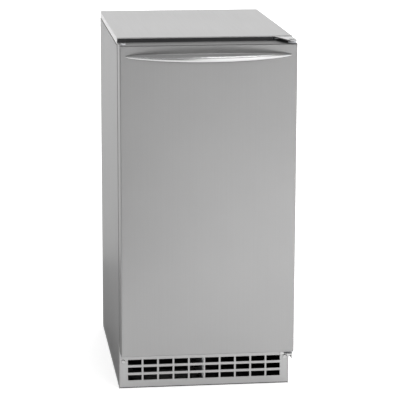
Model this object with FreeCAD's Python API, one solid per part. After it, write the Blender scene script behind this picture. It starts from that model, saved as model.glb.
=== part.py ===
import FreeCAD, Part
import math
import os
from FreeCAD import Vector

# Undercounter ice maker. Millimetres, +Z up, front towards -Y, +X to the right seen from the front.
# The origin is the middle of the cabinet's footprint, on the surface it stands on.

# Driving dimensions
WIDTH = 378.0
CABINET_DEPTH = 505.0
HEIGHT = 780.0
DOOR_PROUD = 67.0
DOOR_BOTTOM = 92.5
DOOR_TOP = 771.5
GASKET_GAP = 13.0
SHEET = 1.0
MOULDING = 3.0
INSULATION = 28.0
FIT = 0.05
GAP = 0.2

# Cabinet
HALF = WIDTH / 2
FRONT = -CABINET_DEPTH / 2
BACK = CABINET_DEPTH / 2
INSIDE = HALF - SHEET - GAP
RIM = 14.0
SIDE_TOP = HEIGHT - RIM - 2.5
RETURN_Y = FRONT + MOULDING + GAP
FOAM_TOP = HEIGHT - 18.0
DECK_Z = 210.5
FOAM_BOTTOM = DECK_Z + 1.5
PAN_SHEET = 1.5
PAN_RIM = 12.0
LEG_HOLE_R = 4.0
LEG_NUT_R = 8.5
LEG_NUT_TOP = 9.5
GRILLE_BOTTOM = 3.2
GRILLE_TOP = 98.0
FASCIA_TOP = 299.5

# Grille slots
SLOT_COLUMNS = 10
SLOT_ROWS = 3
SLOT_PITCH_X = 34.35
SLOT_PITCH_Z = 17.6
SLOT_WIDTH = 30.4
SLOT_HEIGHT = 12.0
SLOT_LOW_Z = 24.8

# Ice bin
BIN_X = HALF - SHEET - INSULATION - MOULDING
BIN_FRONT = FRONT + 30.0
BIN_BACK = 220.0
BIN_FLOOR = 245.0
BIN_CEILING = 742.0
MOUTH_X = 150.0
MOUTH_LOW = 330.0
MOUTH_HIGH = 735.0

# Door
DOOR_FRONT = FRONT - DOOR_PROUD
DOOR_BACK = FRONT - GASKET_GAP
DOOR_EDGE_R = 3.0
DOOR_LINER = 2.0
HINGE_X = HALF - 9.0
HINGE_Y = FRONT - 48.0
PIN_R = 4.0
BUSH_R = 7.0
BRACKET = 3.0
TOP_BRACKET = 2.5
TOP_BRACKET_Z = DOOR_TOP + 2.0
TOP_ARM_Z = HEIGHT - 1.2 - TOP_BRACKET
LOW_BRACKET_Z = DOOR_BOTTOM - 7.5
HANDLE_TIP_X = 176.0
HANDLE_Z = 748.0
HANDLE_BOW = 36.0
HANDLE_HEIGHT = 19.5
HANDLE_SCREW_X = 168.0

# Ice-making module, under the bin's ceiling
MODULE_LEFT = -154.0
MODULE_RIGHT = 86.0
MODULE_FRONT = -28.0
MODULE_BACK = 208.0
MODULE_WALL = 2.5
TANK_TOP = 600.0
TANK_BOTTOM = 540.0
TANK_RIGHT = 154.0
CUP_PITCH = 44.0
CUP_COLUMNS = 5
CUP_ROWS = 4
CUP_R = 17.0
CUP_WALL = 1.5
CUP_HEIGHT = 32.0
PLATE_Z = 722.0
CUP_LEFT_X = -122.0
CUP_FRONT_Y = 24.0
TUBE_R = 4.0
COIL_Z = PLATE_Z + 2.0 + TUBE_R
CHUTE_Y = -30.0
CHUTE_Z = 607.0
CHUTE_SLOPE = 12.0
SPRAY_Z = 580.0
ROD_Y = -34.0
ROD_Z = 688.0
ROD_R = 2.5
FLAPS = 3
FLAP_BOTTOM = 602.0
PUMP_X = 120.0
PUMP_Y = 120.0
FLOAT_Y = 20.0
FLOAT_LOW = 556.0

# Machine compartment
FAN_X = -94.0
FAN_Z = 106.0
FAN_Y = -140.0
CONDENSER_Y = -195.0
COMPRESSOR_X = 95.0
COMPRESSOR_Y = 150.0
COMPRESSOR_R = 62.0
RISER_Y = 237.0
DRAIN_X = -124.0
DRAIN_Z = 40.0
GLAND_X = 150.0
GLAND_Z = 60.0
VALVE_X = 60.0
VALVE_Z = 150.0
VALVE_THREAD = 14.0
VALVE_THREAD_R = 13.2
SWITCH_X = 96.0
SWITCH_Z = 163.0
BOX_X = (30.0, 165.0)
BOX_Y = (FRONT + 6.5, -150.0)
BOX_Z = (112.0, 205.0)

# Ice scoop, hung on a peg on the bin's left wall
SCOOP_Y = -120.0
PEG_Z = 500.0


def slab(x, y, z):
    """Block between two values on each axis."""
    low = Vector(min(x), min(y), min(z))
    return Part.makeBox(abs(x[1] - x[0]), abs(y[1] - y[0]), abs(z[1] - z[0]), low)


def bar(radius, start, end):
    """Round bar from one point to another."""
    start = Vector(*start)
    way = Vector(*end) - start
    return Part.makeCylinder(radius, way.Length, start, way)


def ring(outer, inner, start, end):
    """Round sleeve from one point to another."""
    return bar(outer, start, end).cut(bar(inner, start, end))


def pipe(radius, points, bend):
    """Round bar along straight runs joined by tangent arcs."""
    points = [Vector(*point) for point in points]
    edges = []
    start = points[0]
    for before, corner, after in zip(points, points[1:], points[2:]):
        way_in = (corner - before).normalize()
        way_out = (after - corner).normalize()
        half_turn = way_in.getAngle(way_out) / 2
        setback = bend * math.tan(half_turn)
        arc_start = corner - way_in * setback
        arc_end = corner + way_out * setback
        inward = (way_out - way_in).normalize()
        arc_middle = corner + inward * (bend / math.cos(half_turn) - bend)
        if (arc_start - start).Length > 0.001:
            edges.append(Part.LineSegment(start, arc_start).toShape())
        edges.append(Part.Arc(arc_start, arc_middle, arc_end).toShape())
        start = arc_end
    edges.append(Part.LineSegment(start, points[-1]).toShape())
    circle = Part.Wire(Part.makeCircle(radius, points[0], points[1] - points[0]))
    return Part.Wire(edges).makePipeShell([circle], True, False)


def plate(outline, z, thickness):
    """Flat plate with a closed outline of (x, y) points."""
    corners = [Vector(x, y, z) for x, y in outline]
    return Part.Face(Part.makePolygon(corners + corners[:1])).extrude(Vector(0, 0, thickness))


def fuse(shapes):
    """One solid from pieces that touch or overlap."""
    return shapes[0].multiFuse(shapes[1:]).removeSplitter()


def mirrored(shape):
    """The same piece on the other side of the cabinet."""
    return shape.mirror(Vector(0, 0, 0), Vector(1, 0, 0))


def rounded(shape, radius, chosen):
    """Fillet the edges whose bounding box passes the test."""
    return shape.makeFillet(radius, [edge for edge in shape.Edges if chosen(edge.BoundBox)])


def fuse_apart(shapes):
    """Separate solids kept together in one node."""
    return Part.makeCompound(shapes)


def hexagon(x, y, radius, low, high):
    """Upright hexagonal prism."""
    corners = []
    for k in range(6):
        angle = math.radians(60 * k)
        corners.append((x + radius * math.cos(angle), y + radius * math.sin(angle)))
    return plate(corners, low, high - low)


# Cabinet shell

def leg_places():
    return [(x, y) for x in (-160.0, 160.0) for y in (-215.0, 215.0)]


def base_pan():
    """Folded tray with a weld nut over each hole for a levelling leg."""
    front, back = FRONT + MOULDING + 1.4, BACK - 2.4
    pan = slab((-INSIDE + 0.2, INSIDE - 0.2), (front, back), (0, PAN_RIM))
    hollow = slab((-INSIDE + 1.7, INSIDE - 1.7), (front + 1.5, back - 1.5), (PAN_SHEET, PAN_RIM))
    nuts = [hexagon(x, y, LEG_NUT_R, 1, LEG_NUT_TOP) for x, y in leg_places()]
    holes = [bar(LEG_HOLE_R, (x, y, 0), (x, y, LEG_NUT_TOP)) for x, y in leg_places()]
    return fuse([pan.cut(hollow)] + nuts).cut(fuse_apart(holes))


def right_side_panel():
    sheet = slab((HALF - SHEET, HALF), (FRONT, BACK), (0, SIDE_TOP))
    across, upright = (HALF - 15, HALF - SHEET), (PAN_RIM + 1, FOAM_TOP - 1)
    front_return = slab(across, (RETURN_Y, RETURN_Y + SHEET), upright)
    rear_return = slab(across, (BACK - 2.2, BACK - 1.2), upright)
    return fuse([sheet, front_return, rear_return])


def left_side_panel():
    return mirrored(right_side_panel())


def rear_panel():
    panel = slab((-INSIDE, INSIDE), (BACK - SHEET, BACK), (2, SIDE_TOP))
    holes = [
        bar(13.4, (VALVE_X, BACK - 2, VALVE_Z), (VALVE_X, BACK + 1, VALVE_Z)),
        bar(10.2, (DRAIN_X, BACK - 2, DRAIN_Z), (DRAIN_X, BACK + 1, DRAIN_Z)),
        bar(8.2, (GLAND_X, BACK - 2, GLAND_Z), (GLAND_X, BACK + 1, GLAND_Z)),
    ]
    for column in range(6):
        x = -95 + column * 22.0
        holes.append(slab((x, x + 12), (BACK - 2, BACK + 1), (90, 180)))
    return panel.cut(fuse_apart(holes))


def rear_screw_places():
    return [(x, z) for x in (-170.0, 170.0) for z in (24.0, 200.0, 480.0, 748.0)]


def rear_screws():
    return fuse_apart([pan_screw_y(x, BACK, z, 1) for x, z in rear_screw_places()])


def pan_screw_y(x, y, z, way):
    """Pan-head screw head standing off a face whose normal is along Y."""
    head = bar(4.2, (x, y, z), (x, y + way * 2.4, z))
    head = rounded(head, 1.2, lambda box: abs(box.YMin - box.YMax) < 0.01 and abs(box.YMin - y) > 1)
    tip = y + way * 2.4
    slot_a = slab((x - 2, x + 2), (tip - way * 1.0, tip), (z - 0.5, z + 0.5))
    slot_b = slab((x - 0.5, x + 0.5), (tip - way * 1.0, tip), (z - 2, z + 2))
    return head.cut(slot_a).cut(slot_b)


def top_panel():
    block = slab((-HALF, HALF), (FRONT, BACK), (HEIGHT - RIM, HEIGHT))
    block = rounded(block, 1.5, lambda box: box.ZMin > HEIGHT - 1)
    between_sides = (-HALF + SHEET, HALF - SHEET)
    hollow = slab(between_sides, (FRONT + SHEET, BACK - SHEET), (HEIGHT - RIM, HEIGHT - SHEET))
    mouth = slab(between_sides, (FRONT, FRONT + SHEET), (HEIGHT - RIM, HEIGHT - 2.2))
    return block.cut(hollow).cut(mouth)


def header_trim():
    strip = slab((-INSIDE, INSIDE), (FRONT + 1.5, FRONT + 4.5), (FOAM_TOP + 0.3, HEIGHT - 1.2))
    notch = slab((146, INSIDE), (FRONT, FRONT + 6), (TOP_BRACKET_Z - 0.2, HEIGHT))
    return strip.cut(notch)


def top_rail():
    outer = slab((-186, 186), (FRONT + 6, FRONT + 60), (FOAM_TOP + GAP, TOP_BRACKET_Z))
    inner = slab((-186, 186), (FRONT + 7.5, FRONT + 58.5), (FOAM_TOP + GAP + 1.5, TOP_BRACKET_Z - 1.5))
    return outer.cut(inner).cut(fuse_apart([bracket_screw_shank(x, y) for x, y in bracket_screws_at()]))


def grille_slots():
    slots = []
    for column in range(SLOT_COLUMNS):
        x = (column - (SLOT_COLUMNS - 1) / 2) * SLOT_PITCH_X
        for row in range(SLOT_ROWS):
            z = SLOT_LOW_Z + row * SLOT_PITCH_Z
            slot = slab(
                (x - SLOT_WIDTH / 2, x + SLOT_WIDTH / 2),
                (FRONT - 1, FRONT + 2),
                (z - SLOT_HEIGHT / 2, z + SLOT_HEIGHT / 2),
            )
            slots.append(rounded(slot, 0.6, lambda box: box.YLength > 2))
    return slots


def grille_panel():
    sheet = slab((-INSIDE, INSIDE), (FRONT, FRONT + SHEET), (GRILLE_BOTTOM, GRILLE_TOP))
    top_fold = slab((-INSIDE + 15, INSIDE - 15), (FRONT, FRONT + 14), (GRILLE_TOP - SHEET, GRILLE_TOP))
    hem = slab((-INSIDE, INSIDE), (FRONT, FRONT + 2.4), (GRILLE_BOTTOM, GRILLE_BOTTOM + 2))
    return fuse([sheet, top_fold, hem]).cut(fuse_apart(grille_slots()))


def grille_screws():
    return fuse_apart([pan_screw_y(x, FRONT, 62.5, -1) for x in (-180.0, 180.0)])


def lower_fascia():
    low = GRILLE_TOP + GAP
    sheet = slab((-INSIDE, INSIDE), (FRONT, FRONT + SHEET), (low, FASCIA_TOP))
    fold = slab((-INSIDE + 15, INSIDE - 15), (FRONT, FRONT + 8), (low, low + SHEET))
    return fuse([sheet, fold]).cut(switch_window())


def switch_window():
    """Hole for the switch through the fascia and the control box behind it."""
    return slab((SWITCH_X - 9.5, SWITCH_X + 9.5), (FRONT - 1, FRONT + 9), (SWITCH_Z - 14, SWITCH_Z + 14))


def compartment_deck():
    deck = slab((-INSIDE + 0.2, INSIDE - 0.2), (RETURN_Y + 1.2, BACK - 2.4), (DECK_Z, FOAM_BOTTOM - 0.1))
    return deck.cut(fuse_apart(risers(0.5)))


def risers(growth):
    """Tubes and hose that pass up through the insulation, with the play their holes have."""
    return [
        pipe(TUBE_R + growth, suction_route(), 12),
        pipe(3.2 + growth, hot_gas_route(), 12),
        pipe(1.2 + growth, capillary_route(), 6),
        pipe(TUBE_R + growth, water_route(), 12),
        bar(12 + growth, (DRAIN_X, 190, 200), (DRAIN_X, 190, BIN_FLOOR - MOULDING)),
    ]


def liner_block():
    """The liner with its hollows filled: what the foam goes round."""
    cavity = slab(
        (-BIN_X - MOULDING, BIN_X + MOULDING),
        (BIN_FRONT - MOULDING, BIN_BACK + MOULDING),
        (BIN_FLOOR - MOULDING, BIN_CEILING + MOULDING),
    )
    mouth = slab(
        (-MOUTH_X - MOULDING, MOUTH_X + MOULDING),
        (FRONT, BIN_FRONT),
        (MOUTH_LOW - MOULDING, MOUTH_HIGH + MOULDING),
    )
    return fuse([cavity, mouth])


def bin_liner():
    flange = slab((-INSIDE, INSIDE), (FRONT, FRONT + MOULDING), (FASCIA_TOP + 0.5, FOAM_TOP))
    cavity = slab((-BIN_X, BIN_X), (BIN_FRONT, BIN_BACK), (BIN_FLOOR, BIN_CEILING))
    cavity = rounded(cavity, 14, lambda box: box.ZLength > 100 or box.ZMax < BIN_FLOOR + 1)
    mouth = slab((-MOUTH_X, MOUTH_X), (FRONT - 1, BIN_FRONT + 1), (MOUTH_LOW, MOUTH_HIGH))
    mouth = rounded(mouth, 14, lambda box: box.YLength > 20)
    drain = bar(10.1, (DRAIN_X, 190, BIN_FLOOR - 10), (DRAIN_X, 190, BIN_FLOOR + 5))
    body = fuse([liner_block(), flange]).cut(cavity).cut(mouth).cut(drain)
    return body.cut(fuse_apart(risers(0.5)[:4]))


def cabinet_insulation():
    block = slab((-INSIDE + GAP, INSIDE - GAP), (RETURN_Y + 1.4, BACK - 2.6), (FOAM_BOTTOM, FOAM_TOP))
    return block.cut(liner_block()).cut(fuse_apart(risers(0.3)))


# Hinges

def bracket_screws_at():
    return [(160.0, FRONT + 22), (176.0, FRONT + 22), (168.0, FRONT + 48)]


def bracket_screw_shank(x, y):
    return bar(3, (x, y, TOP_BRACKET_Z - 8), (x, y, TOP_BRACKET_Z + TOP_BRACKET))


def hinge_brackets():
    return fuse_apart([upper_hinge_bracket(), lower_hinge_bracket()])


def upper_hinge_bracket():
    """Plate screwed on the top rail, with a step up to the arm that holds the pin over the door."""
    foot = slab((150, 186), (FRONT - 4, FRONT + 58), (TOP_BRACKET_Z, TOP_BRACKET_Z + TOP_BRACKET))
    step = slab((150, 186), (FRONT - 4, FRONT - 1.5), (TOP_BRACKET_Z, TOP_ARM_Z + TOP_BRACKET))
    outline = [
        (150, FRONT - 1.5), (150, FRONT - 4), (170, FRONT - 60), (174, FRONT - 65),
        (184, FRONT - 65), (188, FRONT - 60), (188, FRONT - 4), (186, FRONT - 1.5),
    ]
    arm = plate(outline, TOP_ARM_Z, TOP_BRACKET)
    pin_hole = bar(PIN_R, (HINGE_X, HINGE_Y, TOP_ARM_Z), (HINGE_X, HINGE_Y, TOP_ARM_Z + TOP_BRACKET))
    screw_holes = fuse_apart([bracket_screw_shank(x, y) for x, y in bracket_screws_at()])
    return fuse([foot, step, arm]).cut(pin_hole).cut(screw_holes)


def lower_hinge_bracket():
    top = LOW_BRACKET_Z + BRACKET
    outline = [
        (170, FRONT), (170, FRONT - 58), (174, FRONT - 64),
        (184, FRONT - 64), (188, FRONT - 58), (188, FRONT),
    ]
    shelf = plate(outline, LOW_BRACKET_Z, BRACKET)
    leg = slab((170, 188), (FRONT - BRACKET, FRONT), (LOW_BRACKET_Z - 17, top))
    gusset = slab((186.5, 188), (FRONT - 52, FRONT), (LOW_BRACKET_Z - 12, top))
    pin_hole = bar(PIN_R, (HINGE_X, HINGE_Y, LOW_BRACKET_Z - 1), (HINGE_X, HINGE_Y, top + 1))
    return fuse([shelf, leg, gusset]).cut(pin_hole)


def hinge_screws():
    screws = []
    for x, y in bracket_screws_at():
        head = bar(5, (x, y, TOP_BRACKET_Z + TOP_BRACKET), (x, y, HEIGHT - 1.2))
        screws.append(fuse([head, bracket_screw_shank(x, y)]))
    screws.append(pan_screw_y(177.5, FRONT - BRACKET, LOW_BRACKET_Z - 9.5, -1))
    return fuse_apart(screws)


def hinge_pins():
    return fuse_apart([upper_hinge_pin(), lower_hinge_pin()])


def upper_hinge_pin():
    top = TOP_ARM_Z + TOP_BRACKET
    head = bar(6.5, (HINGE_X, HINGE_Y, top), (HINGE_X, HINGE_Y, HEIGHT))
    head = rounded(head, 0.5, lambda box: box.ZMin > top + 1)
    return fuse([head, bar(PIN_R, (HINGE_X, HINGE_Y, DOOR_TOP - 17), (HINGE_X, HINGE_Y, top))])


def lower_hinge_pin():
    head = hexagon(HINGE_X, HINGE_Y, 6.4, LOW_BRACKET_Z - 6, LOW_BRACKET_Z)
    shank = bar(PIN_R, (HINGE_X, HINGE_Y, LOW_BRACKET_Z - 1), (HINGE_X, HINGE_Y, DOOR_BOTTOM + 17))
    return fuse([head, shank])


def bush(door_face, way, flange):
    """Flanged nylon bush that turns on a hinge pin, let into the door's top or bottom face."""
    body = bar(BUSH_R, (HINGE_X, HINGE_Y, door_face - way * 20), (HINGE_X, HINGE_Y, door_face))
    lip = bar(9, (HINGE_X, HINGE_Y, door_face), (HINGE_X, HINGE_Y, door_face + way * flange))
    hole = bar(PIN_R + FIT, (HINGE_X, HINGE_Y, door_face - 30), (HINGE_X, HINGE_Y, door_face + 30))
    return fuse([body, lip]).cut(hole)


def door_bushes():
    """The two hinge bushes, and the plugs in the same places on the door's free side."""
    upper_plug, lower_plug = plug_shanks()
    x = -HINGE_X
    upper_cap = bar(5.5, (x, HINGE_Y, DOOR_TOP), (x, HINGE_Y, DOOR_TOP + 1.6))
    lower_cap = bar(5.5, (x, HINGE_Y, DOOR_BOTTOM - 1.6), (x, HINGE_Y, DOOR_BOTTOM))
    return fuse_apart([
        bush(DOOR_TOP, 1, 4.5),
        bush(DOOR_BOTTOM, -1, 4.2),
        fuse([upper_cap, upper_plug]),
        fuse([lower_cap, lower_plug]),
    ])


def bush_pockets():
    return [
        bar(BUSH_R, (HINGE_X, HINGE_Y, DOOR_TOP - 20), (HINGE_X, HINGE_Y, DOOR_TOP + 1)),
        bar(BUSH_R, (HINGE_X, HINGE_Y, DOOR_BOTTOM - 1), (HINGE_X, HINGE_Y, DOOR_BOTTOM + 20)),
    ]


# Door

def handle_screw_shanks(radius):
    return [bar(radius, (x, DOOR_FRONT - 4, HANDLE_Z), (x, DOOR_FRONT + SHEET, HANDLE_Z))
            for x in (-HANDLE_SCREW_X, HANDLE_SCREW_X)]


def door_skin():
    block = slab((-HALF, HALF), (DOOR_FRONT, DOOR_BACK), (DOOR_BOTTOM, DOOR_TOP))
    block = rounded(block, DOOR_EDGE_R, lambda box: box.YMax < DOOR_FRONT + 1)
    hollow = slab(
        (-HALF + SHEET, HALF - SHEET),
        (DOOR_FRONT + SHEET, DOOR_BACK - SHEET),
        (DOOR_BOTTOM + SHEET, DOOR_TOP - SHEET),
    )
    hollow = rounded(hollow, DOOR_EDGE_R - SHEET, lambda box: box.YMax < DOOR_FRONT + SHEET + 1)
    opening = slab((-HALF + 11, HALF - 11), (DOOR_BACK - 2, DOOR_BACK), (DOOR_BOTTOM + 11, DOOR_TOP - 11))
    cuts = [hollow, opening] + bush_pockets() + plug_shanks() + handle_screw_shanks(2)
    for cut in cuts:
        block = block.cut(cut)
    return block


def door_insulation():
    inset = SHEET + 0.1
    block = slab(
        (-HALF + inset, HALF - inset),
        (DOOR_FRONT + inset, DOOR_BACK - inset),
        (DOOR_BOTTOM + inset, DOOR_TOP - inset),
    )
    block = rounded(block, DOOR_EDGE_R - SHEET, lambda box: box.YMax < DOOR_FRONT + 2)
    for x in (-HANDLE_SCREW_X, HANDLE_SCREW_X):
        block = block.cut(bar(4.5, (x, DOOR_FRONT, HANDLE_Z), (x, DOOR_FRONT + 5, HANDLE_Z)))
    for pocket in bush_pockets() + plug_shanks():
        block = block.cut(pocket)
    return block


def door_inner_liner():
    sheet = slab(
        (-HALF + 4, HALF - 4), (DOOR_BACK, DOOR_BACK + DOOR_LINER), (DOOR_BOTTOM + 4, DOOR_TOP - 4))
    raised = slab((-144, 144), (DOOR_BACK, DOOR_BACK + 8), (MOUTH_LOW + 10, MOUTH_HIGH - 10))
    raised = rounded(raised, 5, lambda box: box.YMin > DOOR_BACK + 7 or box.YLength > 7)
    recess = slab((-141, 141), (DOOR_BACK, DOOR_BACK + 5), (MOUTH_LOW + 13, MOUTH_HIGH - 13))
    return fuse([sheet, raised]).cut(recess)


def door_gasket():
    face = DOOR_BACK + DOOR_LINER
    outer = slab((-176, 176), (face, FRONT - 0.5), (DOOR_BOTTOM + 14, FOAM_TOP - 2))
    inner = slab((-162, 162), (face - 1, FRONT), (DOOR_BOTTOM + 28, FOAM_TOP - 16))
    waist = slab((-178, 178), (face + 3, face + 5), (DOOR_BOTTOM, FOAM_TOP))
    waist = waist.cut(slab((-173.5, 173.5), (face, face + 8), (DOOR_BOTTOM + 16.5, FOAM_TOP - 4.5)))
    return outer.cut(inner).cut(waist)


def handle_section(x):
    """Oval slice of the bow handle at one place along it."""
    rise = max(1 - (x / HANDLE_TIP_X) ** 2, 0)
    centre = Vector(x, DOOR_FRONT - HANDLE_BOW * rise, HANDLE_Z)
    half_height = 1.6 + (HANDLE_HEIGHT / 2 - 1.6) * rise ** 0.6
    half_depth = 1.5 + 5.5 * rise ** 0.7
    return oval(centre, half_height, half_depth)


def oval(centre, half_height, half_depth):
    upright = half_height >= half_depth
    major, minor = max(half_height, half_depth), min(half_height, half_depth)
    along = Vector(0, 0, 1) if upright else Vector(0, 1, 0)
    across = Vector(0, 1, 0) if upright else Vector(0, 0, 1)
    ellipse = Part.Ellipse(centre + along * major, centre + across * minor, centre)
    return Part.Wire(ellipse.toShape())


def handle():
    stations = [HANDLE_TIP_X * math.sin(math.radians(angle)) for angle in range(-90, 91, 15)]
    bow = Part.makeLoft([handle_section(x) for x in stations], True, False)
    behind = slab((-HALF, HALF), (DOOR_FRONT, DOOR_FRONT + 40), (HANDLE_Z - 20, HANDLE_Z + 20))
    bow = bow.cut(behind)
    for shank in handle_screw_shanks(2):
        bow = bow.cut(shank)
    return bow


def handle_screws():
    screws = []
    for x, shank in zip((-HANDLE_SCREW_X, HANDLE_SCREW_X), handle_screw_shanks(2)):
        head = bar(4, (x, DOOR_FRONT + SHEET, HANDLE_Z), (x, DOOR_FRONT + SHEET + 2.5, HANDLE_Z))
        screws.append(fuse([head, shank]))
    return fuse_apart(screws)


def plug_shanks():
    x = -HINGE_X
    return [
        bar(3.5, (x, HINGE_Y, DOOR_TOP - 8), (x, HINGE_Y, DOOR_TOP)),
        bar(3.5, (x, HINGE_Y, DOOR_BOTTOM), (x, HINGE_Y, DOOR_BOTTOM + 8)),
    ]


# Ice-making module

def cup_places():
    return [(CUP_LEFT_X + column * CUP_PITCH, CUP_FRONT_Y + row * CUP_PITCH)
            for column in range(CUP_COLUMNS) for row in range(CUP_ROWS)]


def evaporator_plate():
    sheet = slab(
        (MODULE_LEFT + MODULE_WALL, MODULE_RIGHT - MODULE_WALL),
        (MODULE_FRONT + MODULE_WALL, MODULE_BACK - MODULE_WALL),
        (PLATE_Z, PLATE_Z + 2),
    )
    cups = []
    for x, y in cup_places():
        rim = PLATE_Z - CUP_HEIGHT
        cups.append(ring(CUP_R, CUP_R - CUP_WALL, (x, y, rim), (x, y, PLATE_Z)))
    return fuse([sheet] + cups)


def evaporator_coil():
    left, right = CUP_LEFT_X + 4, CUP_LEFT_X + 4 * CUP_PITCH - 4
    reach = CUP_PITCH / 2
    points = [(78, CUP_FRONT_Y, COIL_Z)]
    for row in range(CUP_ROWS):
        y = CUP_FRONT_Y + row * CUP_PITCH
        x = left - reach if row % 2 == 0 else right + reach
        if row < CUP_ROWS - 1:
            points += [(x, y, COIL_Z), (x, y + CUP_PITCH, COIL_Z)]
    points.append((78, CUP_FRONT_Y + (CUP_ROWS - 1) * CUP_PITCH, COIL_Z))
    return pipe(TUBE_R, points, reach)


def spray_housing():
    outer = slab((MODULE_LEFT, MODULE_RIGHT), (MODULE_FRONT, MODULE_BACK), (TANK_TOP, BIN_CEILING))
    inner = slab(
        (MODULE_LEFT + MODULE_WALL, MODULE_RIGHT - MODULE_WALL),
        (MODULE_FRONT + MODULE_WALL, MODULE_BACK - MODULE_WALL),
        (TANK_TOP, BIN_CEILING - MODULE_WALL),
    )
    mouth = slab(
        (MODULE_LEFT + MODULE_WALL, MODULE_RIGHT - MODULE_WALL),
        (MODULE_FRONT - 1, 0),
        (TANK_TOP, ROD_Z + 6),
    )
    cover = slab(
        (MODULE_RIGHT - 1, TANK_RIGHT), (MODULE_FRONT, MODULE_FRONT + MODULE_WALL), (TANK_TOP, BIN_CEILING))
    shell = fuse([outer.cut(inner).cut(mouth), cover])
    ears = [ear(MODULE_LEFT), ear(MODULE_RIGHT - MODULE_WALL)]
    rod_hole = bar(ROD_R, (MODULE_LEFT - 1, ROD_Y, ROD_Z), (MODULE_RIGHT + 1, ROD_Y, ROD_Z))
    holes = [rod_hole]
    for y in (CUP_FRONT_Y, CUP_FRONT_Y + 3 * CUP_PITCH):
        holes.append(bar(TUBE_R + 0.5, (78, y, COIL_Z), (90, y, COIL_Z)))
    return fuse([shell] + ears).cut(fuse_apart(holes))


def ear(x):
    return slab((x, x + MODULE_WALL), (ROD_Y - 6, MODULE_FRONT + 1), (ROD_Z - 8, ROD_Z + 8))


def reservoir():
    outer = slab((MODULE_LEFT, TANK_RIGHT), (MODULE_FRONT, MODULE_BACK), (TANK_BOTTOM, TANK_TOP))
    outer = rounded(outer, 6, lambda box: box.ZMax < TANK_BOTTOM + 1)
    inner = slab(
        (MODULE_LEFT + MODULE_WALL, TANK_RIGHT - MODULE_WALL),
        (MODULE_FRONT + MODULE_WALL, MODULE_BACK - MODULE_WALL),
        (TANK_BOTTOM + MODULE_WALL, TANK_TOP + 1),
    )
    return outer.cut(inner)


def ice_chute():
    left, right = MODULE_LEFT + MODULE_WALL, MODULE_RIGHT - MODULE_WALL
    back = CHUTE_Y + 236
    parts = [slab((x, x + 3), (CHUTE_Y, back), (CHUTE_Z - 5, CHUTE_Z + 5)) for x in (left, right - 3)]
    parts += [slab((left, right), (y, y + 3), (CHUTE_Z - 5, CHUTE_Z)) for y in (CHUTE_Y + 6, back - 3)]
    for column in range(CUP_COLUMNS):
        for side in (-1, 1):
            x = CUP_LEFT_X + column * CUP_PITCH + side * CUP_PITCH / 4
            parts.append(slab((x - 1.5, x + 1.5), (CHUTE_Y, back), (CHUTE_Z - 3, CHUTE_Z + 3)))
    grid = fuse(parts)
    grid.rotate(Vector(0, CHUTE_Y, CHUTE_Z), Vector(1, 0, 0), CHUTE_SLOPE)
    return grid


def spray_bar():
    manifold_x = 70.0
    last_y = CUP_FRONT_Y + (CUP_ROWS - 1) * CUP_PITCH
    parts = [bar(7, (manifold_x, CUP_FRONT_Y - 8, SPRAY_Z), (manifold_x, last_y + 8, SPRAY_Z))]
    for row in range(CUP_ROWS):
        y = CUP_FRONT_Y + row * CUP_PITCH
        parts.append(bar(5.5, (CUP_LEFT_X - 8, y, SPRAY_Z), (manifold_x, y, SPRAY_Z)))
    for x, y in cup_places():
        tip = CHUTE_Z + (y - CHUTE_Y) * math.tan(math.radians(CHUTE_SLOPE)) + 6
        parts.append(bar(3, (x, y, SPRAY_Z), (x, y, tip)))
    spigot = bar(5, (manifold_x, PUMP_Y, SPRAY_Z), (manifold_x + 18, PUMP_Y, SPRAY_Z))
    return fuse(parts + [spigot])


def curtain_rod():
    return bar(ROD_R, (MODULE_LEFT, ROD_Y, ROD_Z), (MODULE_RIGHT, ROD_Y, ROD_Z))


def curtain_flap(number):
    left, right = MODULE_LEFT + MODULE_WALL, MODULE_RIGHT - MODULE_WALL
    pitch = (right - left) / FLAPS
    x = (left + number * pitch + 0.8, left + (number + 1) * pitch - 0.8)
    knuckle = bar(4.5, (x[0], ROD_Y, ROD_Z), (x[1], ROD_Y, ROD_Z))
    blade = slab(x, (ROD_Y - 0.8, ROD_Y + 0.8), (FLAP_BOTTOM, ROD_Z - 2))
    hole = bar(ROD_R + FIT, (x[0] - 1, ROD_Y, ROD_Z), (x[1] + 1, ROD_Y, ROD_Z))
    return fuse([knuckle, blade]).cut(hole)


def pump_bracket():
    """Shelf that carries the pump motor, with the stem that the float slides on."""
    shelf = slab((MODULE_RIGHT + 0.5, TANK_RIGHT), (0, 170), (TANK_TOP, TANK_TOP + 3))
    shelf = shelf.cut(bar(4, (PUMP_X, PUMP_Y, TANK_TOP - 1), (PUMP_X, PUMP_Y, TANK_TOP + 4)))
    stem = bar(ROD_R, (PUMP_X, FLOAT_Y, FLOAT_LOW - 1), (PUMP_X, FLOAT_Y, TANK_TOP + 1))
    collar = bar(5, (PUMP_X, FLOAT_Y, FLOAT_LOW - 5), (PUMP_X, FLOAT_Y, FLOAT_LOW))
    return fuse([shelf, stem, collar])


def pump_housing():
    low, high = 566.0, 590.0
    drum = bar(20, (PUMP_X, PUMP_Y, low), (PUMP_X, PUMP_Y, high))
    spigot = bar(5, (PUMP_X - 30, PUMP_Y, SPRAY_Z), (PUMP_X - 15, PUMP_Y, SPRAY_Z))
    posts = []
    for k in range(3):
        angle = math.radians(90 + 120 * k)
        x, y = PUMP_X + 16 * math.cos(angle), PUMP_Y + 16 * math.sin(angle)
        posts.append(bar(2.5, (x, y, high - 1), (x, y, TANK_TOP)))
    chamber = bar(17, (PUMP_X, PUMP_Y, low + 3), (PUMP_X, PUMP_Y, high - 3))
    inlet = bar(8, (PUMP_X, PUMP_Y, low - 1), (PUMP_X, PUMP_Y, low + 4))
    shaft_hole = bar(3.4, (PUMP_X, PUMP_Y, high - 4), (PUMP_X, PUMP_Y, high + 1))
    return fuse([drum, spigot] + posts).cut(chamber).cut(inlet).cut(shaft_hole)


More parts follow.
